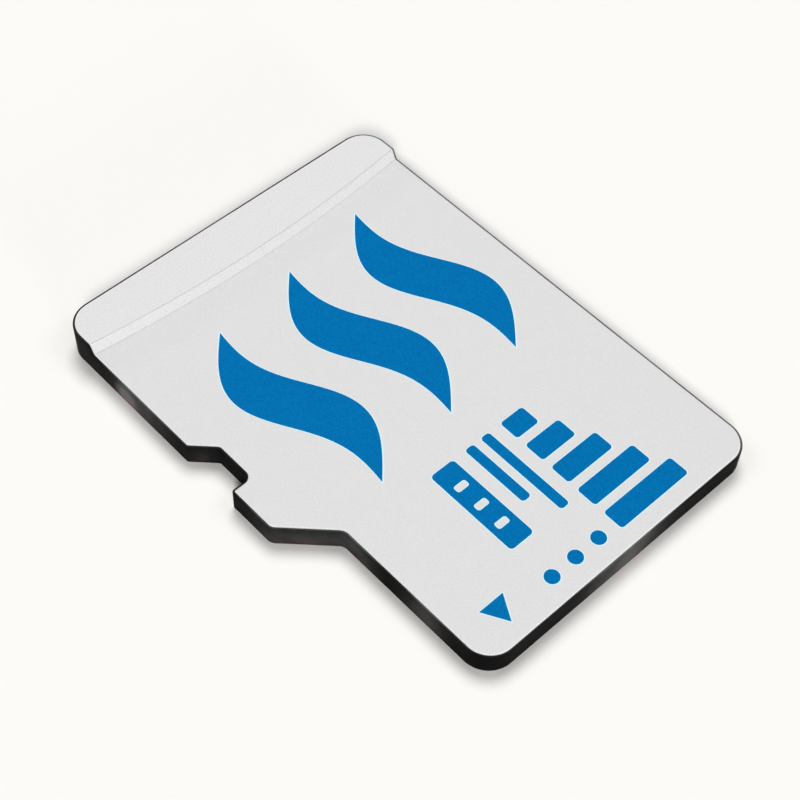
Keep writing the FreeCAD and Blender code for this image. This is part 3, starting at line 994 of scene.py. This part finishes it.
bar_width = (MARKS_LENGTH - BAR_GAP * (BAR_COUNT - 1)) / BAR_COUNT
bar_sizes = {
    "Count": BAR_COUNT,
    "Pitch": bar_width + BAR_GAP,
    "Width": bar_width,
    "Length": BAR_SHORTEST,
    "Growth": (BAR_LONGEST - BAR_SHORTEST) / (BAR_COUNT - 1),
    "Radius": BAR_RADIUS,
    "Spread": 0.0,
    "Thickness": INK_DEPTH,
}
bar_tree, graph, given = new_tree("bar_row", bar_sizes)
upper = graph.math("GREATER_THAN", position(graph)["Y"], 0.0)
bar = stored(graph, filled(graph, spread_curve(graph, given)), "upper", upper)
points = row_of_points(graph, given["Count"], x=given["Pitch"])
points = stored(graph, points, "place_in_row", place_in_row(graph))
bars = realized(graph, on_points(graph, points, moved(graph, bar, y=half(graph, given["Length"]))))
steps_up = graph.math("MULTIPLY", recalled(graph, "upper"), recalled(graph, "place_in_row"))
stretch = flat_vector(graph, y=graph.math("MULTIPLY", given["Growth"], steps_up))
stretched = graph.add("GeometryNodeSetPosition", {"Geometry": bars, "Offset": stretch})
close_tree(graph, stretched.outputs["Geometry"], given)
print(f"bars {bar_width:.3f} mm wide at a pitch of {bar_sizes['Pitch']:.3f} mm")

# %% A tree for the slotted panel
panel_sizes = {
    "Width": 0.8,
    "Length": 2.9,
    "Radius": 0.12,
    "Slots": 3,
    "Slot width": 0.22,
    "Slot margin": 0.2,
    "Spread": 0.0,
    "Thickness": INK_DEPTH,
}
panel_tree, graph, given = new_tree("slotted_panel", panel_sizes)
both_sides = graph.math("MULTIPLY", given["Spread"], 2.0)
slot_width = graph.math("SUBTRACT", given["Slot width"], both_sides)
slot_margins = graph.math("MULTIPLY_ADD", given["Slot margin"], 2.0, both_sides)
slot_length = graph.math("SUBTRACT", given["Width"], slot_margins)
slot_radius = graph.math("DIVIDE", slot_width, 3.0)
slot = rounded_curve(graph, slot_length, slot_width, slot_radius)
slot_step = graph.math("DIVIDE", given["Length"], graph.math("ADD", given["Slots"], 1.0))
slots = realized(graph, on_points(graph, row_of_points(graph, given["Slots"], y=slot_step), slot))
first_slot = graph.math("SUBTRACT", slot_step, half(graph, given["Length"]))
curves = join(graph, spread_curve(graph, given), moved(graph, slots, y=first_slot))
close_tree(graph, filled(graph, curves, mode="TRIANGLES"), given)
print("trees:", ", ".join(tree.name for tree in bpy.data.node_groups))

# %% Rows of lines and dots
LINE_COUNT = 2
LINE_WIDTH = 0.3
LINE_GAP = 0.26
LINE_SHORTENING = 0.8    # how much shorter the second line is
DOT_COUNT = 3
DOT_DIAMETER = 0.42
BARS_FROM_STRAIGHT_SIDE = 2.0
MARK_GAP = 0.42          # between bars and lines, and between lines and panel

bars_foot_x = STRAIGHT_X + BARS_FROM_STRAIGHT_SIDE + BAR_LONGEST
lines_x = bars_foot_x + MARK_GAP
panel_x = lines_x + LINE_COUNT * LINE_WIDTH + (LINE_COUNT - 1) * LINE_GAP + MARK_GAP
panel_end_x = panel_x + panel_sizes["Width"]
line_sizes = bar_sizes | {
    "Count": LINE_COUNT,
    "Pitch": LINE_WIDTH + LINE_GAP,
    "Width": LINE_WIDTH,
    "Length": panel_sizes["Length"],
    "Growth": -LINE_SHORTENING,
}
dot_sizes = bar_sizes | {
    "Count": DOT_COUNT,
    "Pitch": (panel_end_x - lines_x - DOT_DIAMETER) / (DOT_COUNT - 1),
    "Width": DOT_DIAMETER,
    "Length": DOT_DIAMETER,
    "Growth": 0.0,
    "Radius": DOT_DIAMETER / 2,
}
print(f"lines from {lines_x:.2f}, panel from {panel_x:.2f} to {panel_end_x:.2f} mm")

# %% The arrow
ARROW_FROM_KEYED_SIDE = 1.3
ARROW_WIDTH = 0.8
ARROW_LENGTH = 0.7

arrow_tip = Vector((nose_keyed_x - ARROW_FROM_KEYED_SIDE, print_front_y))


def arrow_points(spread):
    """The triangle that points at the nose, with each side moved out by the spread."""
    base_y = arrow_tip.y - ARROW_LENGTH - spread
    tip_y = arrow_tip.y + spread * math.hypot(ARROW_WIDTH / 2, ARROW_LENGTH) / (ARROW_WIDTH / 2)
    half_base = (tip_y - base_y) * ARROW_WIDTH / 2 / ARROW_LENGTH
    return [(arrow_tip.x - half_base, base_y), (arrow_tip.x + half_base, base_y), (arrow_tip.x, tip_y)]


print(f"arrow tip at {arrow_tip.x:.2f}, {arrow_tip.y:.2f} mm")

# %% All the marks
QUARTER_TURN = math.pi / 2       # turns a bar's length towards the straight side

MARK_ROWS = [            # tree, sizes, x, y and turn
    (bar_tree, bar_sizes, bars_foot_x, marks_y + bar_width / 2, QUARTER_TURN),
    (bar_tree, line_sizes, lines_x + LINE_WIDTH / 2, marks_y, 0.0),
    (bar_tree, dot_sizes, lines_x + DOT_DIAMETER / 2, print_front_y - DOT_DIAMETER, 0.0),
    (panel_tree, panel_sizes, (panel_x + panel_end_x) / 2, marks_y + panel_sizes["Length"] / 2, 0.0),
]


def marks_mesh(spread, level, thickness, finish):
    """All the marks in one bmesh, in millimetres."""
    film = {"Spread": spread, "Thickness": thickness}
    mesh = bmesh.new()
    for tree, sizes, x, y, turn in MARK_ROWS:
        grow(mesh, tree, sizes | film, finish, (x, y, level), turn)
    low = [mesh.verts.new((x, y, level)) for x, y in arrow_points(spread)]
    high = [mesh.verts.new((x, y, level + thickness)) for x, y in arrow_points(spread)]
    add_walls(mesh, [low, high])
    mesh.faces.new(low[::-1])
    mesh.faces.new(high)
    return mesh


mesh = marks_mesh(0.0, INK_LEVEL, INK_DEPTH, blue_ink)
ride_as(finish_piece("blue_marks", mesh, blue_ink), "blue_ink", "print_marks")

# %% [markdown]
# ## The coat under the print
#
# A strong colour is often printed on a pale coat that is a little wider than the ink, and its rim shows
# as a light line round every blue shape. It could be drawn into the ink's colour, but then it would be as
# thick as the ink. The trees already know how to spread, so they run again, wider and thinner, for one
# more piece. The model has no solid for this coat, so it replaces nothing.

# %% Base coat
BASE_SPREAD = 0.025

mesh = marks_mesh(BASE_SPREAD, BODY_TOP, BASE_COAT, pale_base)
base_film = {"Spread": BASE_SPREAD, "Thickness": BASE_COAT}
grow(mesh, wave_tree, wave_sizes | base_film, pale_base, (first_wave_x, waves_y, BODY_TOP))
base = finish_piece("print_base_coat", mesh, pale_base)
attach(base, "root")

# %% [markdown]
# ## Camera
#
# The camera stands where the photo was taken, high over the keyed front corner and about 44 mm away. It
# could be pointed by a Track To constraint, but that leaves no say in the lean of the picture. Building
# its three axes from azimuth, elevation and roll does. The angles were found by matching the outline's
# corners.

# %% The photo's camera
AZIMUTH = math.radians(134.988)
ELEVATION = math.radians(53.677)
ROLL = math.radians(2.599)
DISTANCE = 44.150        # millimetres, as is the aim
AIM = Vector((0.235, 0.184, 0.35))
SENSOR_WIDTH = 36
LENS = 75.25
CLIP_METRES = (0.001, 2)

outward = math.cos(ELEVATION)
back = Vector((math.sin(AZIMUTH) * outward, -math.cos(AZIMUTH) * outward, math.sin(ELEVATION)))
level_right = Vector((math.cos(AZIMUTH), math.sin(AZIMUTH), 0))
level_up = back.cross(level_right)
right = level_right * math.cos(ROLL) + level_up * math.sin(ROLL)
up = level_up * math.cos(ROLL) - level_right * math.sin(ROLL)
turned = Matrix((right, up, back)).transposed()

camera_data = bpy.data.cameras.new("photo_camera")
camera_data.sensor_width = SENSOR_WIDTH
camera_data.lens = LENS
camera_data.clip_start, camera_data.clip_end = CLIP_METRES
camera = bpy.data.objects.new("photo_camera", camera_data)
camera.matrix_world = Matrix.Translation((AIM + back * DISTANCE) * MM) @ turned.to_4x4()
bpy.context.scene.collection.objects.link(camera)
bpy.context.scene.camera = camera
print("camera at", [round(value / MM, 2) for value in camera.location], "mm")

# %% [markdown]
# ## Table and sky
#
# The card lies on a plain warm white table that runs out of the picture. The sky could be the only light,
# but an even sky gives hardly any shadow, so it is nearly dark. Only what the camera sees of it, straight
# or in a reflection, is the table's own white, so that the table seems to have no end.

# %% Table
TABLE_WHITE = (0.982, 0.966, 0.932)
TABLE_SHADE = 0.998      # the table's faint clouds are this share of its white
TABLE_REACH = 0.4        # metres

table_material, graph, shader = new_material("table_white", roughness=0.9, specular=0.0)
clouded = tuple(value * TABLE_SHADE for value in TABLE_WHITE)
two_tone(graph, shader, pattern(graph, cells_per_mm=0.05), dark=clouded, light=TABLE_WHITE)
corners = [(-1, -1), (1, -1), (1, 1), (-1, 1)]
table_data = bpy.data.meshes.new("table")
table_data.from_pydata([(x * TABLE_REACH, y * TABLE_REACH, 0) for x, y in corners], [], [(0, 1, 2, 3)])
table_data.materials.append(table_material)
table = bpy.data.objects.new("table", table_data)
bpy.context.scene.collection.objects.link(table)
print(f"table {2 * TABLE_REACH} m wide")

# %% Sky
SKY_LEVEL = 0.008

world = bpy.data.worlds.new("studio_sky")
bpy.context.scene.world = world
world.use_nodes = True
world.node_tree.nodes.clear()
graph = Graph(world.node_tree)
rays = graph.add("ShaderNodeLightPath").outputs
mirrored = graph.math("MAXIMUM", rays["Is Glossy Ray"], rays["Is Transmission Ray"])
seen = graph.math("MAXIMUM", rays["Is Camera Ray"], mirrored)
lighting = graph.add("ShaderNodeBackground", {"Color": (1, 1, 1, 1), "Strength": SKY_LEVEL})
backdrop = graph.add("ShaderNodeBackground", {"Color": (*TABLE_WHITE, 1), "Strength": 1.0})
sky = graph.add("ShaderNodeMixShader", {"Fac": seen})
graph.feed(sky.inputs[1], lighting.outputs["Background"])
graph.feed(sky.inputs[2], backdrop.outputs["Background"])
graph.add("ShaderNodeOutputWorld", {"Surface": sky.outputs["Shader"]})
bpy.context.scene.view_settings.view_transform = "Standard"
print(f"sky level {SKY_LEVEL}")

# %% [markdown]
# ## Lamps
#
# In the photo a soft shadow runs all round the card. One lamp overhead would hide it and one from the
# side would throw it one way only. So a big soft light stands behind the card and throws its shadow to
# the near sides, a smaller one on the near side gives the far sides theirs, and two weaker ones stand to
# the left and right. A weak lamp low before the nose brightens the lip's slope. Sun lamps are used
# because their light is even: one of strength pi overhead lights a white table to exactly 1. The levels
# of sky and lamps add up to 1, so colours come out about as they are written.

# %% Lamps
LAMPS = [                # name, bearing from +X, tilt from overhead, share of the light, angular size
    ("back_light", 225, 27, 0.523, 32),
    ("near_light", 45, 53, 0.27, 13),
    ("left_hand_light", 315, 38, 0.087, 32),
    ("right_hand_light", 135, 38, 0.087, 32),
    ("low_light", 78, 83, 0.025, 10),
]
LAMP_DISTANCE = 0.3      # metres, only to have the lamps out of the way

total_level = SKY_LEVEL
for name, bearing, tilt, level, size in LAMPS:
    around = Matrix.Rotation(math.radians(bearing), 3, "Z")
    toward = around @ Vector((math.sin(math.radians(tilt)), 0, math.cos(math.radians(tilt))))
    data = bpy.data.lights.new(name, "SUN")
    data.energy = level * math.pi / toward.z
    data.angle = math.radians(size)
    lamp = bpy.data.objects.new(name, data)
    facing = toward.to_track_quat("Z", "Y").to_matrix().to_4x4()
    lamp.matrix_world = Matrix.Translation(toward * LAMP_DISTANCE) @ facing
    bpy.context.scene.collection.objects.link(lamp)
    total_level += level
    print(f"{name}: strength {data.energy:.2f}")
print(f"sky and lamps add up to {total_level:.3f}")
